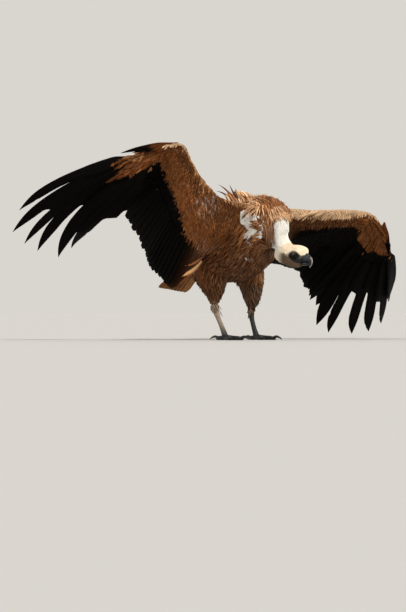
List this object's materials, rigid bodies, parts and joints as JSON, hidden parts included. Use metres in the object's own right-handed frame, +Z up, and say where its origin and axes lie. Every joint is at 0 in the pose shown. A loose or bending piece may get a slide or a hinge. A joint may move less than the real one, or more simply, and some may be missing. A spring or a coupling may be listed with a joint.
{
  "type": "griffon vulture",
  "caption": "Life-size still figure of a griffon vulture standing with its body pitched forward, neck bowed, head lifted and both wings half spread.",
  "frame": {"origin": "middle of the footprint of the whole bird, wings included, on the floor that its feet stand on", "axes": "+Z up, +X towards the bird's left wing tip, -Y the way the body faces"},
  "size_m": [1.7522, 0.7716, 0.6977],
  "materials": {
    "plumage": "matte",
    "coverts": "matte",
    "flight_feathers": "satin",
    "down": "matte",
    "face_down": "matte",
    "cere": "satin",
    "horn": "satin",
    "claws": "satin",
    "leg_scales": "satin",
    "eyes": "gloss"
  },
  "bodies": {
    "root": {"trunk": "plumage", "ruff": "plumage", "neck": "down", "head": "face_down", "cere": "cere", "bill_upper": "horn", "bill_lower": "horn", "eye_right": "eyes", "eye_left": "eyes", "tail": "flight_feathers", "upper_arm_right": "coverts", "forearm_right": "coverts", "hand_right": "coverts", "primaries_right": "flight_feathers", "secondaries_right": "flight_feathers", "alula_right": "flight_feathers", "thigh_right": "plumage", "shank_right": "leg_scales", "foot_right": "leg_scales", "claw_inner_right": "claws", "claw_middle_right": "claws", "claw_outer_right": "claws", "claw_hind_right": "claws", "upper_arm_left": "coverts", "forearm_left": "coverts", "hand_left": "coverts", "primaries_left": "flight_feathers", "secondaries_left": "flight_feathers", "alula_left": "flight_feathers", "thigh_left": "plumage", "shank_left": "leg_scales", "foot_left": "leg_scales", "claw_inner_left": "claws", "claw_middle_left": "claws", "claw_outer_left": "claws", "claw_hind_left": "claws"}
  },
  "joints": []
}
